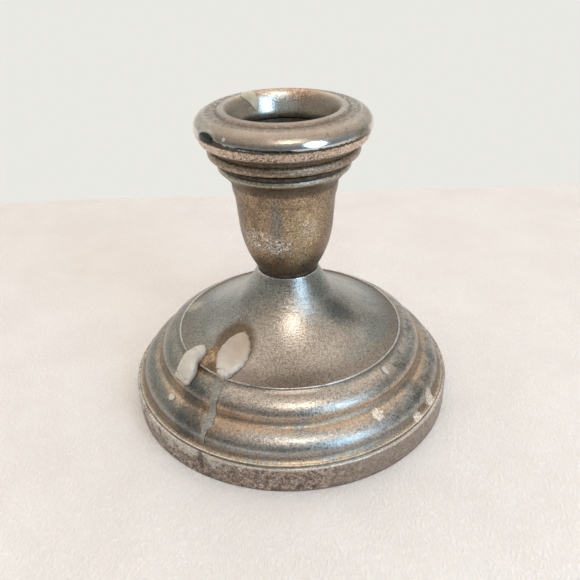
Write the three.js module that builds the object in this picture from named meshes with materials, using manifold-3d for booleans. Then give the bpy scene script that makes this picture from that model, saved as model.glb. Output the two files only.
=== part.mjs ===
// A low weighted candlestick for one taper candle: a spun sheet foot on an upright band, an egg-shaped
// cup with a stepped, rolled rim, a tapered socket, the rod and filler inside, and old wax on the outside.
// Millimetres, +Z up. The origin is the centre of the bottom, where the candlestick stands.
import * as THREE from 'three';
import { mergeVertices } from 'three/addons/utils/BufferGeometryUtils.js';
import Module from 'manifold-3d';

const wasm = await Module();
wasm.setup();

// Overall sizes
const BASE_RADIUS = 44.45;
const HEIGHT = 82.05;
const SHEET = 0.7;
const GAP = 0.3;
const SEGMENTS = 36;

// Foot
const BAND_TOP = 7.45;
const BAND_WALL = 0.65;
const SKIRT_RADIUS = 43.5;
const SKIRT_BOTTOM = 1.3;
const ROLL_WIDTH = 7.05;
const ROLL_RISE = 4.8;
const LOWER_ROLL = [34.95, 9.3];
const UPPER_ROLL = [29.3, 15.55];
const ROLL_SWEEP = 68;
const RIDGE = [30.78, 20.75];
const RIDGE_WIDTH = 0.32;
const RIDGE_RISE = 0.42;
const DOME_KNEE = [13.85, 30.3];
const NECK_RADIUS = 8.2;
const NECK_TOP = 38.9;

// Cup, rim and socket
const CUP_BOTTOM = 39.9;
const CUP_WAIST = [12.43, 54.6];
const CUP_FLARE = [13.6, 64.2];
const CUP_BEAD = [15.9, 68.0];
const CUP_BEAD_RADIUS = 0.86;
const RIM_BOTTOM = 69.85;
const SEAM_INNER = 14.6;
const SEAM_OUTER = 16.75;
const RIM_BEAD = [17.93, 71.7];
const RIM_ROLL = [17.15, 77.8];
const RIM_ROLL_WIDTH = 4.65;
const RIM_ROLL_RISE = 3.6;
const LIP_RADIUS = 14.8;
const THROAT_RADIUS = 11.7;
const THROAT_TOP = 76.8;
const THROAT_BOTTOM = 75.6;
const SOCKET_TOP_RADIUS = 11.3;
const SOCKET_FLOOR_RADIUS = 10.8;
const SOCKET_FLOOR = 57.5;
const SOCKET_WALL = 0.5;

// Rod, nuts and washers (M6)
const ROD_RADIUS = 3;
const ROD_BOTTOM = 4.4;
const ROD_TOP = 50.9;
const ROD_HOLE = ROD_RADIUS + GAP;
const NUT_FLATS = 10;
const NUT_HEIGHT = 5;
const NUT_CORNER = NUT_FLATS / Math.sqrt(3);
const WASHER_THICKNESS = 1.1;
const UPPER_WASHER_RADIUS = 6.4;
const UPPER_WASHER_BOTTOM = CUP_BOTTOM + SHEET + GAP;
const UPPER_NUT_BOTTOM = UPPER_WASHER_BOTTOM + WASHER_THICKNESS + GAP;
const LOWER_WASHER_RADIUS = 9;
const LOWER_NUT_BOTTOM = 5.7;
const LOWER_WASHER_BOTTOM = LOWER_NUT_BOTTOM + NUT_HEIGHT + GAP;

// Fillers and the parts under the foot
const FILL_BOTTOM = 2.4;
const FILL_TOP = 37.6;
const FILL_DEPTH = SHEET + 0.5;
const FILL_RECESS_RADIUS = LOWER_WASHER_RADIUS + GAP;
const FILL_RECESS_TOP = LOWER_WASHER_BOTTOM + WASHER_THICKNESS + GAP;
const CUP_FILL_TOP = SOCKET_FLOOR - SOCKET_WALL - GAP;
const CUP_FILL_BORE = NUT_CORNER + GAP;
const FELT_RADIUS = 43.4;
const FELT_THICKNESS = 1;
const PLATE_RADIUS = 42.5;
const PLATE_THICKNESS = 0.8;

// Wax: how thick it lies on the surface
const DROP_THICKNESS = 1.9;
const RUN_THICKNESS = 0.6;
const FLAKE_THICKNESS = 0.5;

const degrees = Math.PI / 180;

// ---- Profiles: lists of [radius, height], followed with the outside on the right ----

function arc([radius, height], width, rise, from, to, steps) {
  return Array.from({ length: steps + 1 }, (_, i) => {
    const angle = (from + ((to - from) * i) / steps) * degrees;
    return [radius + width * Math.cos(angle), height + rise * Math.sin(angle)];
  });
}

function bend(start, startHandle, endHandle, end, steps) {
  const points = [start, startHandle, endHandle, end].map(([r, z]) => new THREE.Vector2(r, z));
  return new THREE.CubicBezierCurve(...points).getPoints(steps).map((p) => [p.x, p.y]);
}

// The same path moved outwards by a distance; a negative distance moves it into the metal.
function offset(path, distance) {
  return path.map((point, i) => {
    const before = path[Math.max(i - 1, 0)];
    const after = path[Math.min(i + 1, path.length - 1)];
    const [dr, dz] = [after[0] - before[0], after[1] - before[1]];
    const length = Math.hypot(dr, dz);
    return [point[0] + (distance * dz) / length, point[1] - (distance * dr) / length];
  });
}

function join(...paths) {
  const far = (a, b) => !b || Math.hypot(a[0] - b[0], a[1] - b[1]) > 0.02;
  return paths.flat().filter((point, i, all) => far(point, all[i - 1]));
}

function roll(centre, steps) {
  return arc(centre, ROLL_WIDTH, ROLL_RISE, 0, ROLL_SWEEP, steps);
}

// The two rolls of the foot, from the small flare above the band to the edge of the dome.
function footRolls(steps) {
  const lower = roll(LOWER_ROLL, steps);
  const upper = roll(UPPER_ROLL, steps);
  const flare = bend([SKIRT_RADIUS, 7.6], [42.75, 7.8], [42.0, 8.4], lower[0], 3);
  const groove = bend(lower.at(-1), [37.1, 13.9], [36.4, 14.45], upper[0], 4);
  return join(flare, lower, groove, upper);
}

// The dome: a trumpet that starts almost flat and steepens up to the neck.
function dome(steps) {
  const skirt = bend([30.4, 20.8], [24.75, 22.65], [18.2, 25.85], DOME_KNEE, steps);
  const neck = bend(DOME_KNEE, [12.3, 31.9], [9.4, 35.55], [NECK_RADIUS, NECK_TOP], steps);
  return join(skirt, neck);
}

function ridge() {
  return join([[31.55, 20.05], [31.3, 20.0]], arc(RIDGE, RIDGE_WIDTH, RIDGE_RISE, -30, 200, 4));
}

function cupBowl(steps) {
  const egg = bend([8.2, CUP_BOTTOM], [12.75, 47.2], [12.1, 53.75], CUP_WAIST, steps);
  const flare = bend(CUP_WAIST, [12.95, 63.5], [13.2, 58.4], CUP_FLARE, 3);
  return join(egg, flare);
}

// The rim from its lowest edge, over the bead, the cove and the roll, to the lip and down the throat.
function rimPath() {
  const bead = arc(RIM_BEAD, 1.06, 1.16, -60, 80, 4);
  const cove = bend([18.2, 72.95], [18.4, 73.75], [19.4, 74.35], [20.65, 74.85], 3);
  const edge = arc(RIM_ROLL, RIM_ROLL_WIDTH, RIM_ROLL_RISE, -12, 88, 7);
  const groove = bend([17.1, 81.37], [16.7, 81.3], [16.5, 81.3], [16.25, 81.3], 2);
  const lip = bend([16.25, 81.3], [15.8, 81.45], [15.5, HEIGHT], [LIP_RADIUS, HEIGHT], 3);
  const throat = bend([LIP_RADIUS, HEIGHT], [13.3, HEIGHT], [12.1, 79.8], [THROAT_RADIUS, THROAT_TOP], 4);
  return join([[16.3, RIM_BOTTOM]], bead, cove, [[21.45, 76.7]], edge, groove, lip, throat);
}

// ---- Solids ----

function closedBand(outside, inside) {
  return [...outside, ...inside, outside[0]];
}

function lathe(profile, segments = SEGMENTS) {
  const points = profile.map(([r, z]) => new THREE.Vector2(r, z));
  return new THREE.LatheGeometry(points, segments).rotateX(90 * degrees);
}

function ring(innerRadius, outerRadius, bottom, top) {
  const corners = [[innerRadius, bottom], [outerRadius, bottom], [outerRadius, top], [innerRadius, top]];
  return lathe([...corners, corners[0]]);
}

function disc(radius, bottom, top) {
  return lathe([[0, bottom], [radius, bottom], [radius, top], [0, top]]);
}

function hexNut(bottom) {
  const corners = Array.from({ length: 6 }, (_, i) => {
    return new THREE.Vector2(NUT_CORNER * Math.cos(60 * i * degrees), NUT_CORNER * Math.sin(60 * i * degrees));
  });
  const outline = new THREE.Shape(corners);
  const hole = new THREE.Path();
  hole.absarc(0, 0, ROD_HOLE, 0, 360 * degrees, true);
  outline.holes.push(hole);
  const settings = { depth: NUT_HEIGHT, bevelEnabled: false, curveSegments: 24 };
  return new THREE.ExtrudeGeometry(outline, settings).translate(0, 0, bottom);
}

function toSolid(geometry) {
  const bare = geometry.clone().deleteAttribute('normal').deleteAttribute('uv');
  const merged = mergeVertices(bare, 1e-4);
  const vertProperties = new Float32Array(merged.attributes.position.array);
  const triVerts = new Uint32Array(merged.index.array);
  return new wasm.Manifold(new wasm.Mesh({ numProp: 3, vertProperties, triVerts }));
}

function toGeometry(solid) {
  const mesh = solid.getMesh();
  const geometry = new THREE.BufferGeometry();
  geometry.setAttribute('position', new THREE.BufferAttribute(new Float32Array(mesh.vertProperties), 3));
  geometry.setIndex(new THREE.BufferAttribute(new Uint32Array(mesh.triVerts), 1));
  geometry.computeVertexNormals();
  return geometry;
}

// Wax that lies on a turned surface: the part of a thin skin over the path that is inside an outline,
// which is a smooth closed curve through [x, y] points seen from above.
function waxOn(path, outline, thickness) {
  const near = offset(path, GAP);
  const far = offset(path, GAP + thickness);
  const skin = toSolid(lathe(closedBand(far, near.reverse())));
  const points = outline.map(([x, y]) => new THREE.Vector3(x, y, 0));
  const smooth = new THREE.CatmullRomCurve3(points, true).getPoints(outline.length * 3);
  const shape = new THREE.Shape(smooth.slice(0, -1).map((p) => new THREE.Vector2(p.x, p.y)));
  const column = new THREE.ExtrudeGeometry(shape, { depth: HEIGHT + DROP_THICKNESS, bevelEnabled: false });
  return toGeometry(skin.intersect(toSolid(column)));
}

// An oval outline for a flake, at an angle round the foot from the front and a radius.
function oval(angle, radius, length, width) {
  return Array.from({ length: 8 }, (_, i) => {
    const along = (length / 2) * Math.cos(45 * i * degrees);
    const across = (width / 2) * Math.sin(45 * i * degrees);
    const turn = angle * degrees + across / radius;
    return [(radius + along) * Math.sin(turn), -(radius + along) * Math.cos(turn)];
  });
}

// ---- Sub-parts ----

function footBand() {
  const inside = BASE_RADIUS - BAND_WALL;
  const outer = [[BASE_RADIUS, 0.35], [BASE_RADIUS, BAND_TOP - 0.25], [BASE_RADIUS - 0.2, BAND_TOP]];
  const inner = [[inside + 0.1, BAND_TOP], [inside, BAND_TOP - 0.2], [inside, 0.3]];
  return lathe(closedBand(outer, [...inner, [inside + 0.15, 0], [BASE_RADIUS - 0.25, 0]]));
}

const skirt = [[SKIRT_RADIUS, SKIRT_BOTTOM], [SKIRT_RADIUS, 4.5]];

// The foot's path moved into the metal, up to a height: the inside of the shell, or the filler's skin.
function footInside(depth, top) {
  return offset(join(skirt, footRolls(4), dome(4)), -depth).filter(([, z]) => z <= top);
}

function baseShell() {
  const outside = join(skirt, footRolls(5), ridge(), dome(5), [[NECK_RADIUS - 0.3, NECK_TOP]]);
  const hole = [[ROD_HOLE, NECK_TOP], [ROD_HOLE, NECK_TOP - SHEET]];
  const inside = [...footInside(SHEET, NECK_TOP - SHEET), [7.5, NECK_TOP - SHEET]];
  return lathe(closedBand(join(outside, hole), inside.reverse()));
}

function candleCup() {
  const bowl = cupBowl(6);
  const bead = arc(CUP_BEAD, CUP_BEAD_RADIUS, CUP_BEAD_RADIUS, -70, 90, 5);
  const mouth = [[14.6, CUP_BEAD[1] + CUP_BEAD_RADIUS], [14.5, 67.4]];
  const inside = offset(bowl, -SHEET).filter(([, z]) => z > CUP_BOTTOM + SHEET + 0.4);
  const floor = [[7.5, CUP_BOTTOM + SHEET], [ROD_HOLE, CUP_BOTTOM + SHEET], [ROD_HOLE, CUP_BOTTOM]];
  return lathe(closedBand(join(bowl, bead), [...mouth, ...inside.reverse(), ...floor]));
}

// The joint between the cup and the rim.
function rimSeam() {
  const cupTop = CUP_BEAD[1] + CUP_BEAD_RADIUS;
  return ring(SEAM_INNER, SEAM_OUTER, cupTop + GAP, RIM_BOTTOM - GAP);
}

function rimShell() {
  const underside = [[12.35, THROAT_BOTTOM], [12.45, 77.6], [13.1, 80.0], [14.2, 81.1], [15.6, 80.75]];
  const rollInside = arc(RIM_ROLL, RIM_ROLL_WIDTH - SHEET, RIM_ROLL_RISE - SHEET, 85, 0, 5);
  const stem = [[20.0, 75.6], [17.6, 74.0], [16.9, 71.9], [15.0, 70.8], [15.0, RIM_BOTTOM]];
  const inside = join(underside, rollInside, stem);
  return lathe(closedBand([...rimPath(), [THROAT_RADIUS, THROAT_BOTTOM]], inside));
}

function socketLiner() {
  const top = THROAT_BOTTOM - GAP;
  const outerTop = SOCKET_TOP_RADIUS + SOCKET_WALL;
  const outerFloor = SOCKET_FLOOR_RADIUS + SOCKET_WALL;
  const outside = [[0, SOCKET_FLOOR - SOCKET_WALL], [outerFloor, SOCKET_FLOOR - SOCKET_WALL], [outerTop, top]];
  return lathe([...outside, [SOCKET_TOP_RADIUS, top], [SOCKET_FLOOR_RADIUS, SOCKET_FLOOR], [0, SOCKET_FLOOR]]);
}

function weightFill() {
  const skin = footInside(FILL_DEPTH, FILL_TOP).slice(1);
  const outside = [[skin[0][0], FILL_BOTTOM], ...skin, [7.0, FILL_TOP], [ROD_HOLE, FILL_TOP]];
  const bore = [[ROD_HOLE, FILL_RECESS_TOP], [FILL_RECESS_RADIUS, FILL_RECESS_TOP]];
  return lathe(closedBand(outside, [...bore, [FILL_RECESS_RADIUS, FILL_BOTTOM]]));
}

function cupFill() {
  const within = ([, z]) => z > UPPER_NUT_BOTTOM + 0.5 && z < CUP_FILL_TOP - 0.5;
  const wall = offset(cupBowl(6), -SHEET - GAP).filter(within);
  const outside = [[CUP_FILL_BORE, UPPER_NUT_BOTTOM], [8.2, UPPER_NUT_BOTTOM], ...wall, [11.5, CUP_FILL_TOP]];
  const bore = [[0, CUP_FILL_TOP], [0, ROD_TOP + GAP], [CUP_FILL_BORE, ROD_TOP + GAP]];
  return lathe([...bore.slice(1), ...outside, bore[0]]);
}

function threadedRod() {
  const length = ROD_TOP - ROD_BOTTOM;
  const rod = new THREE.CylinderGeometry(ROD_RADIUS, ROD_RADIUS, length, 24);
  return rod.rotateX(90 * degrees).translate(0, 0, ROD_BOTTOM + length / 2);
}

// What the wax lies on: the rolls, the dome with the ridge bridged over, and the throat.
const rolls = footRolls(5);
const overRidge = [[36.3, 16.4], [35.2, 18.7], [33.4, 20.3], [31.5, 21.5], [30.2, 21.5]];
const bed = join(overRidge, dome(5).slice(1));
const throat = rimPath().slice(-8);

const LARGE_DROP = [
  [-12.0, -13.9], [-15.8, -14.2], [-18.7, -17.2], [-19.2, -20.9], [-18.6, -24.9], [-16.5, -26.4],
  [-14.4, -24.9], [-11.8, -23.0], [-10.3, -19.6], [-10.5, -16.3],
];
const SMALL_DROP = [
  [-22.6, -13.6], [-25.6, -13.8], [-28.2, -16.9], [-30.0, -19.7], [-28.5, -21.6], [-26.4, -24.0],
  [-24.4, -22.2], [-23.8, -18.9], [-22.1, -16.3],
];
const RUN = [
  [-16.9, -26.4], [-18.9, -26.0], [-19.7, -28.2], [-20.8, -30.3], [-22.5, -32.4], [-22.7, -34.4],
  [-22.2, -36.0], [-21.3, -35.2], [-19.8, -34.1], [-18.9, -31.3], [-17.9, -29.4],
];
const RIM_PATCH = [
  [-10.5, 9.4], [-9.9, 11.6], [-8.1, 12.6], [-6.4, 11.6], [-6.1, 10.9], [-6.7, 10.0], [-8.5, 9.7],
];

const parts = [
  ['foot_band', footBand(), '#9a8677', 0.42, 1],
  ['base_shell', baseShell(), '#8f8a80', 0.34, 1],
  ['neck_ring', ring(ROD_HOLE, NECK_RADIUS - 0.4, NECK_TOP + GAP, CUP_BOTTOM - GAP), '#4a4238', 0.6, 1],
  ['candle_cup', candleCup(), '#75624c', 0.38, 1],
  ['rim_seam', rimSeam(), '#4c4236', 0.6, 1],
  ['rim_shell', rimShell(), '#8c8277', 0.28, 1],
  ['socket_liner', socketLiner(), '#5c4f40', 0.5, 1],
  ['weight_fill', weightFill(), '#8d8a84', 0.95, 0],
  ['cup_fill', cupFill(), '#2b2622', 0.7, 0],
  ['reinforcing_rod', threadedRod(), '#8b8882', 0.4, 1],
  ['upper_nut', hexNut(UPPER_NUT_BOTTOM), '#9b968c', 0.35, 1],
  ['lower_nut', hexNut(LOWER_NUT_BOTTOM), '#9b968c', 0.35, 1],
  ['bottom_plate', disc(PLATE_RADIUS, SKIRT_BOTTOM, SKIRT_BOTTOM + PLATE_THICKNESS), '#77736d', 0.5, 1],
  ['felt_pad', disc(FELT_RADIUS, 0, FELT_THICKNESS), '#2f4a38', 0.95, 0],
  ['wax_drop_large', waxOn(bed, LARGE_DROP, DROP_THICKNESS), '#efe6dc', 0.35, 0],
  ['wax_drop_small', waxOn(bed, SMALL_DROP, DROP_THICKNESS), '#efe6dc', 0.35, 0],
  ['wax_run', waxOn(rolls, RUN, RUN_THICKNESS), '#98948a', 0.6, 0],
  ['wax_rim_patch', waxOn(throat, RIM_PATCH, FLAKE_THICKNESS), '#cdbfa3', 0.45, 0],
  ['wax_flake_left', waxOn(rolls, oval(-53.3, 38.9, 1.6, 2.2), FLAKE_THICKNESS), '#d9cfc0', 0.5, 0],
  ['wax_flake_right', waxOn(rolls, oval(46.1, 33.2, 2.4, 1.6), FLAKE_THICKNESS), '#cfc8b8', 0.5, 0],
];

const washers = [
  ['upper_washer', UPPER_WASHER_RADIUS, UPPER_WASHER_BOTTOM],
  ['lower_washer', LOWER_WASHER_RADIUS, LOWER_WASHER_BOTTOM],
];
for (const [name, radius, bottom] of washers) {
  parts.push([name, ring(ROD_HOLE, radius, bottom, bottom + WASHER_THICKNESS), '#a09a90', 0.35, 1]);
}

const candlestick = new THREE.Group();
for (const [name, geometry, color, roughness, metalness] of parts) {
  const mesh = new THREE.Mesh(geometry, new THREE.MeshStandardMaterial({ color, roughness, metalness }));
  mesh.name = name;
  candlestick.add(mesh);
}

export default candlestick;
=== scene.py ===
# The look of the low weighted candlestick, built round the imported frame. Shapes are worked out in
# millimetres and made in metres. Azimuth is in degrees from the front (-Y) towards +X.
import math

import bmesh
import bpy
import numpy as np
from mathutils import Matrix, Vector


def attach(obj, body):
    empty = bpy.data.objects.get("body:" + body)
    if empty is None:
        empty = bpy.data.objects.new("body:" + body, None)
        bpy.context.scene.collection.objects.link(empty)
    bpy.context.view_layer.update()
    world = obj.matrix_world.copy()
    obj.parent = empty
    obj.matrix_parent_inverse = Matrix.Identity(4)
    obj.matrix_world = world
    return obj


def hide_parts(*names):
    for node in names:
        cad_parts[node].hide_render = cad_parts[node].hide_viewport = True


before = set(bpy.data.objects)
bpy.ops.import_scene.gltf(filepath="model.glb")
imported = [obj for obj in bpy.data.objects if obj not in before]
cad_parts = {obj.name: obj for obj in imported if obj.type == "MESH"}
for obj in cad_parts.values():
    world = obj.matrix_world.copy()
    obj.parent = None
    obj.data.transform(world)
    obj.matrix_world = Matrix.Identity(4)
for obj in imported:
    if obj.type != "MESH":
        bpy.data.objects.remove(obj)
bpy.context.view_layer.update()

MM = 0.001
RNG = np.random.default_rng(7)

# ---- Sizes in millimetres, as in the CAD source ----

BASE_RADIUS = 44.45
HEIGHT = 82.05
SHEET = 0.7
GAP = 0.3
BAND_TOP = 7.45
BAND_WALL = 0.65
SKIRT_RADIUS = 43.5
SKIRT_BOTTOM = 1.3
ROLL_WIDTH, ROLL_RISE, ROLL_SWEEP = 7.05, 4.8, 68
LOWER_ROLL = (34.95, 9.3)
UPPER_ROLL = (29.3, 15.55)
RIDGE, RIDGE_WIDTH, RIDGE_RISE = (30.78, 20.75), 0.32, 0.42
DOME_KNEE = (13.85, 30.3)
NECK_RADIUS, NECK_TOP = 8.2, 38.9
CUP_BOTTOM = 39.9
CUP_WAIST = (12.43, 54.6)
CUP_FLARE = (13.6, 64.2)
CUP_BEAD, CUP_BEAD_RADIUS = (15.9, 68.0), 0.86
RIM_BOTTOM = 69.85
RIM_BEAD = (17.93, 71.7)
RIM_ROLL, RIM_ROLL_WIDTH, RIM_ROLL_RISE = (17.15, 77.8), 4.65, 3.6
LIP_RADIUS = 14.8
THROAT_RADIUS, THROAT_TOP, THROAT_BOTTOM = 11.7, 76.8, 75.6
SOCKET_TOP_RADIUS, SOCKET_FLOOR_RADIUS, SOCKET_FLOOR, SOCKET_WALL = 11.3, 10.8, 57.5, 0.5
ROD_RADIUS, ROD_BOTTOM, ROD_TOP = 3.0, 4.4, 50.9
ROD_HOLE = ROD_RADIUS + GAP
NUT_FLATS, NUT_HEIGHT = 10.0, 5.0
WASHER_THICKNESS = 1.1
UPPER_WASHER_RADIUS, UPPER_WASHER_BOTTOM = 6.4, CUP_BOTTOM + SHEET + GAP
UPPER_NUT_BOTTOM = UPPER_WASHER_BOTTOM + WASHER_THICKNESS + GAP
LOWER_WASHER_RADIUS, LOWER_NUT_BOTTOM = 9.0, 5.7
LOWER_WASHER_BOTTOM = LOWER_NUT_BOTTOM + NUT_HEIGHT + GAP
FILL_BOTTOM, FILL_TOP, FILL_DEPTH = 2.4, 37.6, SHEET + 0.5
FELT_RADIUS, FELT_THICKNESS = 43.4, 1.0
PLATE_RADIUS, PLATE_THICKNESS = 42.5, 0.8
SEAM_INNER, SEAM_OUTER, SEAM_BOTTOM, SEAM_GAP = 14.6, 16.75, 68.91, 0.05

# ---- Sizes in millimetres that only the look has ----

THREAD_PITCH = 1.0
DENT_RADIUS = 44  # where the dents of hand-finished sheet have their full depth
RING_EDGE = 0.12


# ---- Profiles: arrays of (radius, height), followed with the outside on the right ----

def arc(centre, width, rise, start, end, steps):
    angle = np.radians(np.linspace(start, end, steps + 1))
    return np.column_stack([centre[0] + width * np.cos(angle), centre[1] + rise * np.sin(angle)])


def bend(p0, p1, p2, p3, steps):
    t = np.linspace(0, 1, steps + 1)[:, None]
    p0, p1, p2, p3 = (np.array(p, float) for p in (p0, p1, p2, p3))
    return (1 - t) ** 3 * p0 + 3 * (1 - t) ** 2 * t * p1 + 3 * (1 - t) * t * t * p2 + t ** 3 * p3


def join(*paths):
    points = np.vstack([np.atleast_2d(np.array(path, float)) for path in paths])
    step = np.linalg.norm(np.diff(points, axis=0), axis=1)
    return points[np.concatenate([[True], step > 0.01])]


def offset(path, distance):
    """The path moved outwards, or into the metal if distance is negative."""
    along = np.gradient(path, axis=0)
    along /= np.linalg.norm(along, axis=1)[:, None]
    return path + distance * np.column_stack([along[:, 1], -along[:, 0]])


def fine(path, step):
    """The path with points no further apart than step."""
    lengths = np.linalg.norm(np.diff(path, axis=0), axis=1)
    out = [path[:1]]
    for start, end, length in zip(path[:-1], path[1:], lengths):
        count = max(1, int(np.ceil(length / step)))
        t = np.linspace(0, 1, count + 1)[1:, None]
        out.append(start + (end - start) * t)
    return np.vstack(out)


def foot_rolls():
    lower = arc(LOWER_ROLL, ROLL_WIDTH, ROLL_RISE, 0, ROLL_SWEEP, 26)
    upper = arc(UPPER_ROLL, ROLL_WIDTH, ROLL_RISE, 0, ROLL_SWEEP, 26)
    flare = bend((SKIRT_RADIUS, 7.6), (42.75, 7.8), (42.0, 8.4), lower[0], 8)
    groove = bend(lower[-1], (37.1, 13.9), (36.4, 14.45), upper[0], 10)
    return join(flare, lower, groove, upper)


def dome():
    skirt = bend((30.35, 20.92), (24.75, 22.65), (18.2, 25.85), DOME_KNEE, 26)
    neck = bend(DOME_KNEE, (12.3, 31.9), (9.4, 35.55), (NECK_RADIUS, NECK_TOP), 18)
    return join(skirt, neck)


def ridge():
    return join([(31.7, 20.15), (31.4, 20.35)], arc(RIDGE, RIDGE_WIDTH, RIDGE_RISE, -20, 140, 8))


def cup_bowl():
    egg = bend((8.2, CUP_BOTTOM), (12.75, 47.2), (12.1, 53.75), CUP_WAIST, 34)
    flare = bend(CUP_WAIST, (12.95, 63.5), (13.2, 58.4), CUP_FLARE, 12)
    return join(egg, flare)


def rim_path():
    bead = arc(RIM_BEAD, 1.06, 1.16, -60, 80, 14)
    cove = bend((18.2, 72.95), (18.4, 73.75), (19.4, 74.35), (20.65, 74.85), 8)
    copper = [(20.72, 74.92), (21.05, 75.75), (21.43, 76.6), (21.52, 76.8)]
    edge = arc(RIM_ROLL, RIM_ROLL_WIDTH, RIM_ROLL_RISE, -12, 88, 30)
    groove = bend((17.1, 81.37), (16.7, 81.3), (16.5, 81.3), (16.25, 81.3), 6)
    lip = bend((16.25, 81.3), (15.8, 81.45), (15.5, HEIGHT), (LIP_RADIUS, HEIGHT), 8)
    throat = bend((LIP_RADIUS, HEIGHT), (13.4, HEIGHT), (12.7, 79.6), (THROAT_RADIUS, THROAT_TOP), 14)
    return join([(16.3, RIM_BOTTOM)], bead, cove, copper, edge, groove, lip, throat)


# ---- Meshes ----

def hollowness(loop):
    """How far each point of a closed profile lies in a groove (above 0) or on an edge (below 0)."""
    closed = np.vstack([loop, loop[:1]])
    length = np.concatenate([[0], np.cumsum(np.linalg.norm(np.diff(closed, axis=0), axis=1))])
    step, blur, gain = 0.05, 0.6, 9
    dense_at = np.arange(0, length[-1], step)
    dense = np.column_stack([np.interp(dense_at, length, closed[:, k]) for k in (0, 1)])
    reach = np.arange(-36, 37)
    weight = np.exp(-0.5 * (reach * step / blur) ** 2)
    weight /= weight.sum()
    index = (np.arange(len(dense))[:, None] + reach) % len(dense)
    blurred = (dense[index] * weight[None, :, None]).sum(axis=1)
    along = np.roll(dense, -1, axis=0) - np.roll(dense, 1, axis=0)
    along /= np.maximum(np.linalg.norm(along, axis=1), 1e-9)[:, None]
    outward = np.column_stack([along[:, 1], -along[:, 0]])
    depth = ((blurred - dense) * outward).sum(axis=1)
    return np.clip(np.interp(length[:-1], dense_at, depth) * gain, -1, 1)


def add_object(name, vertices, faces, values=None, sharp=40):
    mesh = bpy.data.meshes.new(name)
    mesh.from_pydata((np.asarray(vertices) * MM).tolist(), [], faces)
    if values is not None:
        layer = mesh.attributes.new("hollow", "FLOAT", "POINT")
        layer.data.foreach_set("value", np.asarray(values, np.float32))
    work = bmesh.new()
    work.from_mesh(mesh)
    bmesh.ops.remove_doubles(work, verts=work.verts, dist=1e-7)
    bmesh.ops.recalc_face_normals(work, faces=work.faces)
    work.to_mesh(mesh)
    work.free()
    mesh.polygons.foreach_set("use_smooth", [True] * len(mesh.polygons))
    mesh.set_sharp_from_angle(angle=math.radians(sharp))
    piece = bpy.data.objects.new(name, mesh)
    bpy.context.scene.collection.objects.link(piece)
    return piece


def bands(pairs, count):
    """Faces between pairs of rings of count points. A ring is given by its place in the order."""
    faces = []
    for here, beyond in pairs:
        for j in range(count):
            m = (j + 1) % count
            faces.append((here * count + j, here * count + m, beyond * count + m, beyond * count + j))
    return faces


def turned(name, outside, inside, warp=None, turns=300, sharp=40):
    """A closed turned solid: the outside path going up, then the inside path going down."""
    loop = join(outside, inside)
    if np.linalg.norm(loop[0] - loop[-1]) < 0.01:
        loop = loop[:-1]
    angle = np.linspace(0, 2 * np.pi, turns, endpoint=False)
    radius = np.repeat(loop[:, :1], turns, axis=1)
    height = np.repeat(loop[:, 1:], turns, axis=1)
    azimuth = np.degrees(np.arctan2(np.cos(angle), -np.sin(angle)))[None, :]
    if warp:
        radius, height = warp(radius, height, azimuth)
    vertices = np.stack([radius * np.cos(angle), radius * np.sin(angle), height], axis=-1).reshape(-1, 3)
    pairs = [(i, (i + 1) % len(loop)) for i in range(len(loop))]
    off_axis = [pair for pair in pairs if loop[list(pair), 0].max() >= 1e-6]
    return add_object(name, vertices, bands(off_axis, turns), np.repeat(hollowness(loop), turns), sharp)


def around(azimuth, centre, width):
    """1 at an azimuth, falling smoothly to 0 at width degrees to each side."""
    away = np.abs((azimuth - centre + 180) % 360 - 180) / width
    return np.where(away < 1, (1 - np.minimum(away, 1) ** 2) ** 2, 0.0)


def uneven(amount):
    """A warp for hand-finished sheet: wide, shallow dents, up to amount mm deep at the foot's edge."""
    def warp(radius, height, azimuth):
        turn = np.radians(azimuth)
        wave = 0.5 * np.sin(2 * turn + 0.6) + 0.3 * np.sin(3 * turn - height / 9)
        wave = wave + 0.2 * np.sin(5 * turn + height / 5)
        return radius * (1 - amount * (0.5 - 0.5 * wave) / DENT_RADIUS), height
    return warp


def band_warp(radius, height, azimuth):
    """The band: nicked and dented near the wax run, with a slightly wavy top edge."""
    outer = radius > BASE_RADIUS - 0.4
    radius, height = uneven(0.1)(radius, height, azimuth)
    nick = around(azimuth, -31.4, 1.3) * np.clip((height - 1.5) / 2, 0, 1)
    nick = nick * np.clip((BAND_TOP + 0.6 - height) / 1.2, 0, 1)
    dent = around(azimuth, -38, 9) * np.clip((height - 3) / 4, 0, 1)
    turn = np.radians(azimuth)
    wavy = 0.05 * (np.sin(7 * turn) + np.sin(11 * turn + 1) + np.sin(23 * turn + 2)) - 0.15
    top = np.clip((height - BAND_TOP + 1.2) / 1.2, 0, 1)
    return radius - outer * (0.35 * nick + 0.12 * dent), height + wavy * top


def ring(name, inner, outer, bottom, top):
    edge = RING_EDGE
    outside = join(
        [(inner + edge, bottom), (outer - edge, bottom)],
        arc((outer - edge, bottom + edge), edge, edge, -90, 0, 3),
        arc((outer - edge, top - edge), edge, edge, 0, 90, 3),
    )
    inside = [(inner + edge, top), (inner, top - edge), (inner, bottom + edge), (inner + edge, bottom)]
    return turned(name, outside, inside, None, 160)


def washer(name, radius, bottom):
    return ring(name, ROD_HOLE, radius, bottom, bottom + WASHER_THICKNESS)


def foot_band():
    inside = BASE_RADIUS - BAND_WALL
    hem = arc((BASE_RADIUS - 0.3, 0.35), 0.3, 0.35, -90, 0, 5)
    top = arc((BASE_RADIUS - 0.25, BAND_TOP - 0.25), 0.25, 0.25, 0, 90, 5)
    outer = join(hem, top)
    crimp = SKIRT_RADIUS + 0.03
    inner = [(crimp, BAND_TOP - 0.05), (crimp, BAND_TOP - 0.6), (inside, BAND_TOP - 1.2), (inside, 0.3),
             (inside + 0.15, 0.0)]
    return turned("foot_band_look", fine(outer, 0.45), fine(join(inner), 0.9), band_warp)


SKIRT = [(SKIRT_RADIUS, SKIRT_BOTTOM), (SKIRT_RADIUS, 4.5)]


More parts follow.
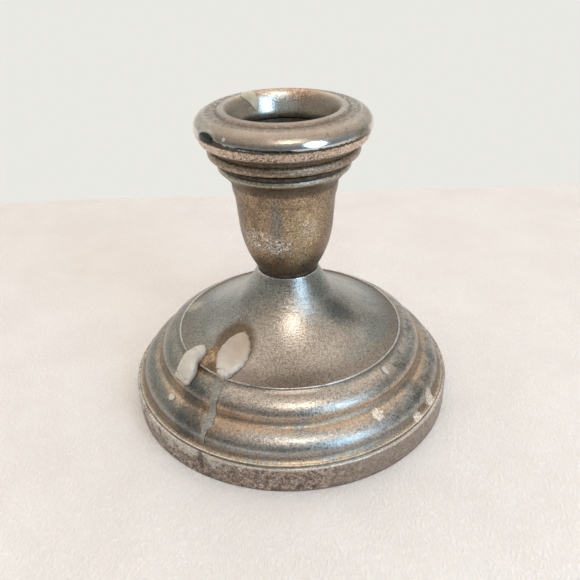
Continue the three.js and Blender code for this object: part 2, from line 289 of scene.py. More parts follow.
def foot_inside(depth, top):
    path = offset(join(SKIRT, foot_rolls()[::4], dome()[::5], dome()[-1:]), -depth)
    return path[path[:, 1] <= top]


def base_shell():
    outside = join(SKIRT, foot_rolls(), ridge(), dome(), [(NECK_RADIUS - 0.3, NECK_TOP)])
    inside = foot_inside(SHEET, NECK_TOP - SHEET)
    hole = [(ROD_HOLE, NECK_TOP), (ROD_HOLE, NECK_TOP - SHEET), (7.5, NECK_TOP - SHEET)]
    return turned("base_shell_look", outside, join(hole, inside[::-1]), uneven(0.1))


def candle_cup():
    bowl = cup_bowl()
    bead = arc(CUP_BEAD, CUP_BEAD_RADIUS, CUP_BEAD_RADIUS, -70, 90, 14)
    inside = offset(bowl[::4], -SHEET)
    inside = inside[inside[:, 1] > CUP_BOTTOM + SHEET + 0.4]
    mouth = [(14.6, CUP_BEAD[1] + CUP_BEAD_RADIUS), (14.5, 67.4)]
    floor = [(7.5, CUP_BOTTOM + SHEET), (ROD_HOLE, CUP_BOTTOM + SHEET), (ROD_HOLE, CUP_BOTTOM)]
    return turned("candle_cup_look", join(bowl, bead), join(mouth, inside[::-1], floor), uneven(0.1), 240)


def rim_shell():
    underside = [(12.35, THROAT_BOTTOM), (12.65, 77.2), (13.25, 79.2), (14.1, 80.8), (14.9, 81.1),
                 (15.6, 80.75)]
    roll_inside = arc(RIM_ROLL, RIM_ROLL_WIDTH - SHEET, RIM_ROLL_RISE - SHEET, 85, 0, 9)
    stem = [(20.0, 75.6), (17.6, 74.0), (16.9, 71.9), (15.0, 70.8), (15.0, RIM_BOTTOM)]
    outside = join(rim_path(), [(THROAT_RADIUS, THROAT_BOTTOM)])
    return turned("rim_shell_look", outside, join(underside, roll_inside, stem), uneven(0.16), 260)


def socket_liner():
    top = THROAT_BOTTOM - GAP
    radius, floor = SOCKET_FLOOR_RADIUS, SOCKET_FLOOR
    outer_top, outer_floor = SOCKET_TOP_RADIUS + SOCKET_WALL, radius + SOCKET_WALL
    bottom = floor - SOCKET_WALL
    outside = [(0, bottom), (outer_floor - 0.5, bottom), (outer_floor, bottom + 0.5), (outer_top, top - 0.1)]
    corner = bend((radius, floor + 1), (radius, floor + 0.2), (radius - 0.2, floor), (radius - 1, floor), 5)
    inside = join([(outer_top - 0.1, top), (SOCKET_TOP_RADIUS, top)], corner, [(0, floor)])
    return turned("socket_liner_look", fine(join(outside), 1.2), fine(inside, 1.2), None, 160)


def lumpy(amount, size):
    """A warp for poured filler: gritty, and sunk in here and there by up to amount per cent."""
    def warp(radius, height, azimuth):
        turn = np.radians(azimuth)
        lump = np.sin(height / size + 2 * turn) * np.sin(5 * turn - height / size * 1.7)
        grain = RNG.random(radius.shape)
        return radius * (1 - 0.01 * amount * (0.5 + 0.5 * lump)) - 0.08 * grain * (radius > 1), height
    return warp


def weight_fill():
    skin = foot_inside(FILL_DEPTH, FILL_TOP)[1:]
    outside = join([(skin[0][0], FILL_BOTTOM)], skin, [(7.0, FILL_TOP), (ROD_HOLE, FILL_TOP)])
    recess, recess_top = LOWER_WASHER_RADIUS + GAP, LOWER_WASHER_BOTTOM + WASHER_THICKNESS + GAP
    bore = [(ROD_HOLE, recess_top), (recess, recess_top), (recess, FILL_BOTTOM)]
    return turned("weight_fill_look", fine(outside, 1.5), fine(join(bore), 2.0), lumpy(0.8, 3), 160)


def cup_fill():
    top = SOCKET_FLOOR - SOCKET_WALL - GAP
    bore_radius = NUT_FLATS / math.sqrt(3) + GAP
    wall = offset(cup_bowl()[::3], -SHEET - GAP)
    wall = wall[(wall[:, 1] > UPPER_NUT_BOTTOM + 0.5) & (wall[:, 1] < top - 0.5)]
    outside = join([(bore_radius, UPPER_NUT_BOTTOM), (8.2, UPPER_NUT_BOTTOM)], wall, [(11.5, top)])
    inside = [(0, top), (0, ROD_TOP + GAP), (bore_radius, ROD_TOP + GAP), (bore_radius, UPPER_NUT_BOTTOM)]
    return turned("cup_fill_look", fine(outside, 1.0), join(inside), lumpy(0.4, 2), 120)


def reinforcing_rod():
    """The rod with its thread, which runs out into a chamfer at both ends."""
    levels = np.arange(ROD_BOTTOM, ROD_TOP + 0.01, THREAD_PITCH / 10)
    loop = np.column_stack([np.full(len(levels), ROD_RADIUS), levels])

    def thread(radius, height, azimuth):
        phase = (height / THREAD_PITCH - azimuth / 360) % 1
        depth = 0.31 * np.abs(2 * phase - 1)
        ends = np.minimum(height - ROD_BOTTOM, ROD_TOP - height)
        chamfer = np.clip(0.5 - ends, 0, 0.5)
        return np.where(radius > 0, np.maximum(ROD_RADIUS - np.maximum(depth, chamfer), 0), 0), height
    return turned("reinforcing_rod_look", loop, [(0, ROD_TOP), (0, ROD_BOTTOM)], thread, 48, 60)


def hex_nut(name, bottom):
    """A hexagon nut: its corners are cut back by a 30 degree cone at both faces."""
    flat = NUT_FLATS / 2
    top = bottom + NUT_HEIGHT
    radii = np.linspace(ROD_HOLE + 0.3, flat / math.cos(math.radians(30)), 9)
    lower = np.column_stack([radii, np.full(9, bottom)])
    upper = np.column_stack([radii[::-1], np.full(9, top)])
    bore = [(ROD_HOLE, top - 0.3), (ROD_HOLE, bottom + 0.3)]

    def shape(radius, height, azimuth):
        side = flat / np.cos(np.radians((azimuth + 30) % 60 - 30))
        radius = np.minimum(radius, side)
        cut = np.maximum(radius - flat * 0.97, 0) * math.tan(math.radians(30))
        return radius, height + cut * (height < bottom + 0.1) - cut * (height > top - 0.1)
    return turned(name, join(lower, upper), bore, shape, 144, 25)


def bottom_plate():
    base, radius = SKIRT_BOTTOM, PLATE_RADIUS
    top = base + PLATE_THICKNESS
    swage = [(34.5, base), (35.2, base + 0.25), (36.6, base + 0.25), (37.3, base)]
    lower = join([(0, base), (12, base), (24, base)], swage, [(radius - 0.2, base)])
    upper = [(radius, base + 0.2), (radius, top - 0.1), (radius - 0.1, top), (24, top), (0, top)]
    return turned("bottom_plate_look", lower, upper, None, 160)


def felt_pad():
    """Felt with a fuzzy nap and a slightly uneven cut edge."""
    edge = arc((FELT_RADIUS - 0.45, 0.5), 0.42, 0.5, -85, 85, 8)
    lower = np.column_stack([np.linspace(0, FELT_RADIUS - 0.6, 60), np.zeros(60)])
    upper = np.column_stack([np.linspace(FELT_RADIUS - 0.6, 0, 30), np.full(30, FELT_THICKNESS)])

    def fuzz(radius, height, azimuth):
        turn = np.radians(azimuth)
        rim = radius > FELT_RADIUS - 1
        cut = 0.25 * (0.5 + 0.5 * np.sin(9 * turn + 1) * np.sin(14 * turn)) + 0.1 * RNG.random(radius.shape)
        nap = 0.09 * RNG.random(radius.shape) * np.clip(radius / 30, 0, 1)
        low = height < 0.2
        return radius - cut * rim, np.where(low, height + nap * (radius > 0), height - nap * (radius > 0))
    return turned("felt_pad_look", join(lower, edge), upper, fuzz, 300, 60)


# ---- Wax ----

# The top of what the drops have filled, from the upper roll over the ridge to the dome
OVER_RIDGE = [(36.3, 16.4), (35.2, 18.7), (33.4, 20.3), (31.5, 21.5), (30.2, 21.5)]


def closed_curve(points, steps):
    """A smooth closed curve through points."""
    points = np.array(points, float)
    out = []
    for i in range(len(points)):
        a, b, c, d = (points[(i + k) % len(points)] for k in (-1, 0, 1, 2))
        t = np.linspace(0, 1, steps, endpoint=False)[:, None]
        square, cube = 2 * a - 5 * b + 4 * c - d, 3 * b - a - 3 * c + d
        out.append(0.5 * (2 * b + (c - a) * t + square * t ** 2 + cube * t ** 3))
    return np.vstack(out)


def wax_on(name, paths, outline, thickness, spine=None, ragged=0.3):
    """Wax in an outline seen from above, thickest along its spine. paths is a pair: the underside follows
    the first, and the top stands on the second, which bridges what the wax has filled."""
    rings, steps = 14, 12
    edge = closed_curve(outline, 14)
    count = len(edge)
    spine = np.array(spine or [edge.mean(axis=0)] * 2, float)
    along = spine[1] - spine[0]
    share_along = np.clip((edge - spine[0]) @ along / max(along @ along, 1e-9), 0, 1)
    middle = spine[0] + np.round(share_along * steps)[:, None] / steps * along
    turn = np.linspace(0, 2 * np.pi, count, endpoint=False)
    nibble = np.sin(17 * turn) + 0.7 * np.sin(29 * turn + 1) + 0.5 * np.sin(41 * turn + 2)
    ground, bed = (path[np.argsort(path[:, 0])] for path in paths)
    vertices, values = [], []
    for path, is_top in ((bed, True), (ground, False)):
        for k in range(rings + 1):
            share = math.sin(0.5 * math.pi * k / rings)
            reach = share * (1 - 0.03 * ragged * nibble * share ** 5)
            flat = middle + (edge - middle) * reach[:, None]
            radius = np.linalg.norm(flat, axis=1)
            level = np.interp(radius, path[:, 0], path[:, 1])
            ahead, behind = (np.interp(radius + d, path[:, 0], path[:, 1]) for d in (0.2, -0.2))
            slope = (ahead - behind) / 0.4
            lump = 1 + 0.12 * np.sin(flat[:, 0] * 1.3 + 1) * np.sin(flat[:, 1] * 1.1)
            rise = thickness * (1 - share ** 3) ** 0.6 * lump + 0.1 if is_top else 0.04
            move = rise / np.sqrt(1 + slope ** 2)
            spot = flat - flat / radius[:, None] * (slope * move)[:, None]
            vertices.append(np.column_stack([spot, level + move]))
            values.append(np.full(count, share))
    faces = bands([(k, k + 1) for k in range(rings)], count)
    faces += [quad[::-1] for quad in bands([(k, k + 1) for k in range(rings + 1, 2 * rings + 1)], count)]
    top, bottom = rings * count, (2 * rings + 1) * count
    for j in range(count):
        m = (j + 1) % count
        faces.append((top + j, bottom + j, bottom + m, top + m))
    return add_object(name, np.vstack(vertices), faces, np.concatenate(values), 60)


def oval(azimuth, radius, length, width):
    turn = np.radians(np.arange(0, 360, 45))
    along, across = radius + length / 2 * np.cos(turn), width / 2 * np.sin(turn)
    angle = math.radians(azimuth) + across / radius
    return np.column_stack([along * np.sin(angle), -along * np.cos(angle)])


LARGE_DROP = [(-12.0, -13.9), (-15.8, -14.2), (-18.7, -17.2), (-19.2, -20.9), (-18.6, -24.9), (-16.5, -26.4),
              (-14.4, -24.9), (-11.8, -23.0), (-10.3, -19.6), (-10.5, -16.3)]
SMALL_DROP = [(-22.6, -13.6), (-25.6, -13.8), (-28.2, -16.9), (-30.0, -19.7), (-28.5, -21.6), (-26.4, -24.0),
              (-24.4, -22.2), (-23.8, -18.9), (-22.1, -16.3)]
RUN = [(-16.9, -26.4), (-18.9, -26.0), (-19.7, -28.2), (-20.8, -30.3), (-22.5, -32.4), (-22.7, -34.4),
       (-22.2, -36.0), (-21.3, -35.2), (-19.8, -34.1), (-18.9, -31.3), (-17.9, -29.4)]
RIM_PATCH = [(-10.5, 9.4), (-9.9, 11.6), (-8.1, 12.6), (-6.4, 11.6), (-6.1, 10.9), (-6.7, 10.0), (-8.5, 9.7)]


# ---- Materials ----

class Field:
    """A value that varies over a surface, as a node socket that takes arithmetic."""

    def __init__(self, shader, socket):
        self.shader, self.socket = shader, socket

    def __add__(self, other):
        return self.shader.math("ADD", self, other)

    def __sub__(self, other):
        return self.shader.math("SUBTRACT", self, other)

    def __rsub__(self, other):
        return self.shader.math("SUBTRACT", other, self)

    def __mul__(self, other):
        return self.shader.math("MULTIPLY", self, other)

    __radd__, __rmul__ = __add__, __mul__


def emptied_tree(owner):
    """The node tree of a new material or world, without what Blender puts there."""
    owner.use_nodes = True
    owner.node_tree.nodes.clear()
    return owner.node_tree


def add_node(tree, kind):
    return tree.nodes.new("ShaderNode" + kind)


class Shader:
    """A material under construction. Its coordinates are in millimetres in the row frame."""

    def __init__(self, name):
        self.material = bpy.data.materials.new(name)
        self.tree = emptied_tree(self.material)
        self.bsdf = self.node("BsdfPrincipled")
        output = self.node("OutputMaterial")
        self.tree.links.new(self.bsdf.outputs[0], output.inputs["Surface"])
        coords = self.node("TexCoord")
        self.place = self.vector("SCALE", Field(self, coords.outputs["Object"]), scale=1 / MM)
        split = self.node("SeparateXYZ")
        self.tree.links.new(self.place.socket, split.inputs[0])
        self.x, self.y, self.z = (Field(self, socket) for socket in split.outputs)
        self.radius = self.math("SQRT", self.x * self.x + self.y * self.y)
        self.azimuth = self.math("ARCTAN2", self.x, self.y * -1.0) * math.degrees(1)
        attribute = self.node("Attribute")
        attribute.attribute_name = "hollow"
        self.hollow = Field(self, attribute.outputs["Fac"])

    def node(self, kind):
        return add_node(self.tree, kind)

    def set(self, socket, value):
        if isinstance(value, Field):
            self.tree.links.new(value.socket, socket)
        elif isinstance(value, tuple) and len(value) == 3 and socket.type == "RGBA":
            socket.default_value = (*value, 1)
        else:
            socket.default_value = value

    def math(self, operation, *values):
        node = self.node("Math")
        node.operation = operation
        for socket, value in zip(node.inputs, values):
            self.set(socket, value)
        return Field(self, node.outputs[0])

    def vector(self, operation, *values, scale=None):
        node = self.node("VectorMath")
        node.operation = operation
        for socket, value in zip(node.inputs, values):
            self.set(socket, value)
        if scale is not None:
            self.set(node.inputs["Scale"], scale)
        return Field(self, node.outputs["Value" if operation == "LENGTH" else "Vector"])

    def noise(self, size, detail=3.0, roughness=0.55, distortion=0.0, stretch=(1, 1, 1), shift=0.0, at=None):
        """Smooth noise from about 0.2 to 0.8, with lumps of a size in mm, stretched along the axes."""
        place = self.vector("MULTIPLY", at or self.place, tuple(1 / (size * s) for s in stretch))
        place = self.vector("ADD", place, (shift, shift * 0.7, shift * 1.3))
        node = self.node("TexNoise")
        self.set(node.inputs["Vector"], place)
        settings = {"Scale": 1.0, "Detail": detail, "Roughness": roughness, "Distortion": distortion}
        for name, value in settings.items():
            node.inputs[name].default_value = value
        return Field(self, node.outputs[0])

    def specks(self, size, amount, shift=0.0):
        """Separate small specks: 1 inside them, in a share of the cells given by amount."""
        node = self.node("TexVoronoi")
        place = self.vector("ADD", self.vector("SCALE", self.place, scale=1 / size), (shift, shift, shift))
        self.set(node.inputs["Vector"], place)
        node.inputs["Scale"].default_value = 1.0
        split = self.node("SeparateColor")
        self.tree.links.new(node.outputs["Color"], split.inputs[0])
        chosen = self.smooth(Field(self, split.outputs[0]), amount + 0.02, amount)
        return self.smooth(Field(self, node.outputs["Distance"]), 0.42, 0.18) * chosen

    def turning(self, size):
        """Fine lines round the axis, as turning and polishing leave them."""
        node = self.node("CombineXYZ")
        self.set(node.inputs[0], self.radius)
        self.set(node.inputs[1], self.z)
        self.set(node.inputs[2], self.azimuth * 0.01)
        return self.noise(size, detail=2.0, at=Field(self, node.outputs[0]))

    def smooth(self, value, low, high):
        """0 where value is at low and 1 where it is at high, whichever of them is larger."""
        node = self.node("MapRange")
        node.interpolation_type = "SMOOTHSTEP"
        for socket, item in zip(node.inputs, (value, low, high, 0.0, 1.0)):
            self.set(socket, item)
        return Field(self, node.outputs[0])

    def between(self, value, low, high, soft):
        return self.smooth(value, low - soft, low) * self.smooth(value, high + soft, high)

    def blot(self, centre, size, soft=0.4, ragged=0.25, stretch=(1, 1, 1), grain=1.0):
        """A blot of a size in mm round a point, with a ragged edge."""
        delta = self.vector("SUBTRACT", self.place, tuple(float(c) for c in centre))
        delta = self.vector("MULTIPLY", delta, tuple(1 / (size * s) for s in stretch))
        rough = self.noise(grain, shift=float(sum(centre))) - 0.5
        away = self.vector("LENGTH", delta) + rough * (ragged * 4)
        return self.smooth(away, 1 + soft / 2, 1 - soft / 2)

    def patch(self, place, size, **shape):
        """A blot round a point on the surface, given by its azimuth, radius and height."""
        azimuth, radius, height = place
        turn = math.radians(azimuth)
        return self.blot((radius * math.sin(turn), -radius * math.cos(turn), height), size, **shape)

    def mix(self, amount, first, second):
        node = self.node("Mix")
        node.data_type = "RGBA"
        for index, item in ((0, amount), (6, first), (7, second)):
            self.set(node.inputs[index], item)
        return Field(self, node.outputs[2])

    def paint(self, amount, colour):
        """Lays a colour over the surface's own, in an amount that may vary."""
        self.colour = self.mix(amount, self.colour, colour)

    def shade(self, factor):
        """Scales the surface's colour by a number that may vary."""
        self.colour = self.vector("SCALE", self.colour, scale=factor)

    def contrast(self, value):
        """Noise spread over the whole range from 0 to 1."""
        return self.smooth(value, 0.32, 0.68)

    def most(self, first, *others):
        for other in others:
            first = self.math("MAXIMUM", first, other)
        return first

    def finish(self, roughness, height, depth, metal=0.0, **sockets):
        """Sets the surface. height is a bump pattern, and depth what 1 of it stands for, in mm."""
        self.set(self.bsdf.inputs["Base Color"], self.colour)
        self.set(self.bsdf.inputs["Roughness"], roughness)
        self.bsdf.inputs["Metallic"].default_value = metal
        for name, value in sockets.items():
            self.set(self.bsdf.inputs[name.replace("_", " ")], value)
        bump = self.node("Bump")
        bump.inputs["Distance"].default_value = depth * MM
        self.set(bump.inputs["Height"], height)
        self.tree.links.new(bump.outputs[0], self.bsdf.inputs["Normal"])
        return self.material


def foot_silver():
    s = Shader("silver_foot_look")
    grain = s.contrast(s.noise(0.42, detail=2.0, roughness=0.6))
    pits = s.smooth(s.noise(0.5, detail=1.0, shift=12.0), 0.40, 0.30)
    speckle = s.noise(0.9, detail=4.0, roughness=0.8, shift=3.0)
    cloud = s.noise(9.0, detail=5.0, roughness=0.62, distortion=0.4)
    drift = s.noise(22.0, detail=3.0, shift=9.0)
    lines = s.turning(0.35)
    s.colour = s.mix(s.smooth(cloud, 0.38, 0.62), (0.215, 0.225, 0.205), (0.335, 0.33, 0.30))
    s.paint(s.smooth(drift, 0.45, 0.62) * 0.45, (0.32, 0.275, 0.225))
    front = s.patch((-4, 22, 25), 15, soft=1.0, ragged=0.2, stretch=(1.0, 1.0, 1.6), grain=6)
    s.paint(front * 0.7, (0.475, 0.40, 0.34))
    foot_of_dome = s.smooth(s.radius + (cloud - 0.5) * 8, 24.0, 29.0) * s.smooth(s.radius, 31.6, 31.0)
    s.paint(foot_of_dome * 0.8, (0.20, 0.165, 0.14))
    # The rolls: pinkish-brown where they are worn, blue-grey between, with dark stains
    on_rolls = s.smooth(s.radius, 31.4, 32.2)
    worn = s.smooth(cloud + (speckle - 0.5) * 0.5, 0.42, 0.60)
    s.paint(on_rolls * worn * 0.6, (0.46, 0.375, 0.31))
    s.paint(on_rolls * s.smooth(drift, 0.52, 0.38) * 0.5, (0.24, 0.265, 0.28))
    stain = s.noise(3.4, detail=3.0, roughness=0.6, shift=6.0)
    # Painted highlight: at the front of the rolls, under the lamp, the stains are left out and the metal is
    # painted lighter
    lit_front = s.between(s.azimuth, -16, 36, 14) * 0.8
    s.paint(on_rolls * s.smooth(stain, 0.53, 0.62) * (1 - lit_front) * 0.6, (0.13, 0.125, 0.11))
    s.paint(on_rolls * lit_front * 0.4, (0.50, 0.455, 0.41))
    olive = s.between(s.azimuth, -160, -44, 14) * s.smooth(s.radius, 20.0, 32.0)
    s.paint(olive * 0.6, (0.265, 0.25, 0.205))
    groove = s.between(s.radius, 36.4, 38.2, 0.9) * s.smooth(s.z, 12.4, 13.4)
    flare = s.smooth(s.z, 9.6, 8.2)
    s.paint(groove * s.smooth(cloud, 0.34, 0.5) * 0.7, (0.50, 0.365, 0.25))
    s.paint(flare * s.smooth(cloud, 0.36, 0.5) * 0.75, (0.42, 0.31, 0.205))
    left_groove = s.patch((-30, 37.2, 13.9), 7.0, soft=1.2, ragged=0.3, stretch=(1.4, 1, 0.5), grain=3.0)
    s.paint(left_groove * 0.6, (0.42, 0.27, 0.155))
    # Round the wax: a dark rim above the large drop, rust between the two drops
    halo = s.blot((-15.2, -17.2, 26.6), 7.4, soft=0.35, ragged=0.06, stretch=(0.86, 1, 1), grain=2.0)
    s.paint(halo * 0.9, (0.15, 0.105, 0.065))
    rust = s.blot((-21.3, -19.6, 22.0), 4.4, soft=0.8, ragged=0.3)
    s.paint(rust * 0.85, (0.20, 0.14, 0.09))
    s.paint(rust * s.smooth(speckle, 0.42, 0.56) * 0.85, (0.42, 0.285, 0.17))
    notch = s.blot((-20.9, -21.6, 21.2), 2.2, soft=0.8, ragged=0.25, stretch=(1.3, 1.0, 0.6))
    s.paint(notch * 0.8, (0.085, 0.065, 0.045))
    smudges = s.most(
        s.blot((-25.1, -25.9, 16.9), 4.0, soft=0.9, ragged=0.3),
        s.blot((-26.6, -31.0, 12.0), 4.6, soft=0.7, ragged=0.3),
        s.patch((58, 15.5, 28.5), 4.4, soft=1.4, ragged=0.35, stretch=(1.3, 0.7, 0.8)),
    )
    s.paint(smudges * 0.75, (0.085, 0.095, 0.095))
    green = s.patch((-38, 9.5, 36.5), 4.2, soft=1.2, ragged=0.4) * s.smooth(speckle, 0.46, 0.56)
    s.paint(green * 0.7, (0.36, 0.42, 0.35))
    # Grooves hold dirt, and edges are rubbed bright
    by_ridge = s.between(s.radius, 29.4, 31.2, 0.3)
    dirt = s.smooth(s.hollow, 0.25, 0.9) * s.smooth(speckle, 0.3, 0.6) * (1 - by_ridge)
    s.paint(dirt * 0.4, (0.12, 0.105, 0.08))
    bright = s.smooth(s.hollow, -0.25, -0.8) * s.smooth(cloud, 0.3, 0.5)
    s.paint(bright * 0.7, (0.62, 0.60, 0.55))
    residue = s.most(
        s.patch((33.2, 38.7, 13.3), 1.5, soft=0.3, ragged=0.4, grain=0.7),
        s.patch((59.5, 42.6, 8.9), 2.0, soft=0.3, ragged=0.4, grain=0.8, stretch=(1, 1, 1.4)),
        s.patch((49.0, 42.8, 7.9), 1.7, soft=0.3, ragged=0.4, grain=0.7),
        s.patch((-106, 28.9, 21.4), 2.6, soft=1.0, ragged=0.4, grain=0.9) * 0.45,
    )
    s.paint(residue * 0.95, (0.78, 0.70, 0.60))
    s.shade((0.62 + grain * 0.60 + s.smooth(speckle, 0.3, 0.7) * 0.26) * (1 - pits * 0.22))
    roughness = 0.225 + cloud * 0.10 + grain * 0.08 + dirt * 0.2 + residue * 0.3 + smudges * 0.08
    height = grain * 0.55 + speckle * 0.55 + lines * 0.3 + residue * 1.2
    return s.finish(roughness, height, depth=0.035, metal=1.0)


def band_silver():
    s = Shader("silver_band_look")
    grain = s.contrast(s.noise(0.4, detail=2.0, roughness=0.6))
    mottle = s.noise(1.3, detail=5.0, roughness=0.8, distortion=0.6)
    cloud = s.noise(11.0, detail=3.0, shift=4.0)
    s.colour = s.mix(s.smooth(mottle, 0.40, 0.58), (0.20, 0.155, 0.13), (0.50, 0.41, 0.35))
    s.paint(s.smooth(mottle, 0.54, 0.64) * s.smooth(cloud, 0.35, 0.6), (0.80, 0.70, 0.62))
    film = s.noise(3.2, detail=4.0, shift=7.0) + (s.z - 5.5) * 0.05
    left = s.between(s.azimuth, -85, -30, 14) * s.smooth(film, 0.50, 0.58)
    s.paint(left * 0.8, (0.66, 0.62, 0.56))
    # Painted shade: the right side of the band, towards the window, is painted an even, darker tone and made
    # a little smoother
    right = s.between(s.azimuth, 22, 75, 18) * 0.7
    s.paint(right, (0.42, 0.36, 0.31))
    edge = s.smooth(s.z, 6.6, 7.1) * (0.2 + s.between(s.azimuth, -46, 56, 22) * 0.8)
    s.paint(edge * s.smooth(mottle, 0.25, 0.5) * 0.9, (0.70, 0.66, 0.60))
    nick = s.patch((-31.4, 44.4, 5.2), 2.6, soft=0.8, ragged=0.3, stretch=(0.35, 1, 1))
    s.paint(nick * 0.8, (0.09, 0.075, 0.06))
    dirt = s.most(s.smooth(s.z, 0.8, 0.1), s.smooth(s.radius, 43.9, 43.7) * 0.8)
    s.paint(dirt * 0.6, (0.16, 0.125, 0.09))
    s.shade(0.62 + grain * 0.52)
    roughness = 0.34 + s.smooth(mottle, 0.6, 0.4) * 0.16 + grain * 0.06 - right * 0.08
    return s.finish(roughness, mottle * 0.8 + grain * 0.4, depth=0.05, metal=1.0)


def cup_silver():
    s = Shader("silver_cup_look")
    grain = s.contrast(s.noise(0.42, detail=2.0, roughness=0.6))
    speckle = s.noise(0.8, detail=5.0, roughness=0.85, shift=2.0)
    cloud = s.noise(6.0, detail=4.0, shift=5.0)
    s.colour = s.mix(s.smooth(cloud, 0.38, 0.6), (0.255, 0.185, 0.125), (0.385, 0.285, 0.19))
    gold = s.patch((18, 12.4, 54), 7.5, soft=1.0, ragged=0.25, stretch=(0.75, 1, 1.2), grain=3)
    s.paint(gold * 0.7, (0.47, 0.365, 0.225))
    grey = s.patch((-12, 12.4, 54.5), 5.4, soft=0.8, ragged=0.3, stretch=(0.30, 1, 1.5), grain=2)
    s.paint(grey * 0.75, (0.265, 0.26, 0.235))
    # Painted shade: both sides of the cup, turning away from the front, are painted darker
    sides = s.most(s.smooth(s.azimuth, 26, 62), s.smooth(s.azimuth, -42, -78))
    s.paint(sides * 0.5, (0.17, 0.14, 0.11))
    pits = s.smooth(s.noise(0.55, detail=1.0, shift=12.0), 0.42, 0.32)
    sparks = s.smooth(s.noise(0.45, detail=1.0, shift=15.0), 0.60, 0.70) * s.smooth(speckle, 0.42, 0.55)
    s.paint(sparks * (0.45 + gold * 0.45), (0.85, 0.70, 0.52))
    # Rubbed through: thin, curling scratches in bare metal
    curl = s.noise(1.7, detail=2.0, distortion=1.6, shift=8.0)
    cross_curl = s.noise(1.2, detail=2.0, distortion=1.2, shift=18.0)
    scratch = s.most(
        s.smooth(s.math("ABSOLUTE", curl - 0.5), 0.03, 0.01),
        s.smooth(s.math("ABSOLUTE", cross_curl - 0.5), 0.024, 0.008),
    )
    rubbed = s.most(
        s.patch((-35, 11.9, 50.9), 3.9, soft=1.0, ragged=0.3, stretch=(1.4, 1.0, 0.7), grain=1.2),
        s.patch((-11, 11.8, 49.8), 3.0, soft=1.0, ragged=0.3, stretch=(1.2, 1.0, 0.8), grain=1.2),
        s.patch((26, 12.4, 54.5), 2.6, soft=1.2, ragged=0.4, grain=1.2) * 0.5,
    )
    bare = rubbed * scratch
    s.paint(rubbed * 0.35, (0.16, 0.13, 0.10))
    s.paint(bare, (0.98, 0.90, 0.80))
    shade = s.most(s.smooth(s.z, 46.5, 42.0), s.smooth(s.z, 62.0, 66.5) * s.smooth(s.z, 67.2, 66.4) * 0.6)
    s.paint(shade * 0.65, (0.105, 0.09, 0.07))
    dirt = s.smooth(s.hollow, 0.2, 0.7) * s.smooth(speckle, 0.2, 0.6)
    s.paint(dirt * 0.55, (0.12, 0.10, 0.075))
    bead = s.smooth(s.z, 66.9, 67.3)
    s.paint(bead * 0.8, (0.34, 0.325, 0.265))
    s.paint(bead * s.smooth(speckle, 0.48, 0.56) * 0.8, (0.58, 0.50, 0.39))
    s.shade((0.64 + grain * 0.76) * (1 - pits * 0.45))
    roughness = 0.33 + grain * 0.08 + dirt * 0.2 - rubbed * 0.06
    height = grain * 0.8 + speckle * 0.9 + bare * 0.4
    return s.finish(roughness, height, depth=0.04, metal=1.0)


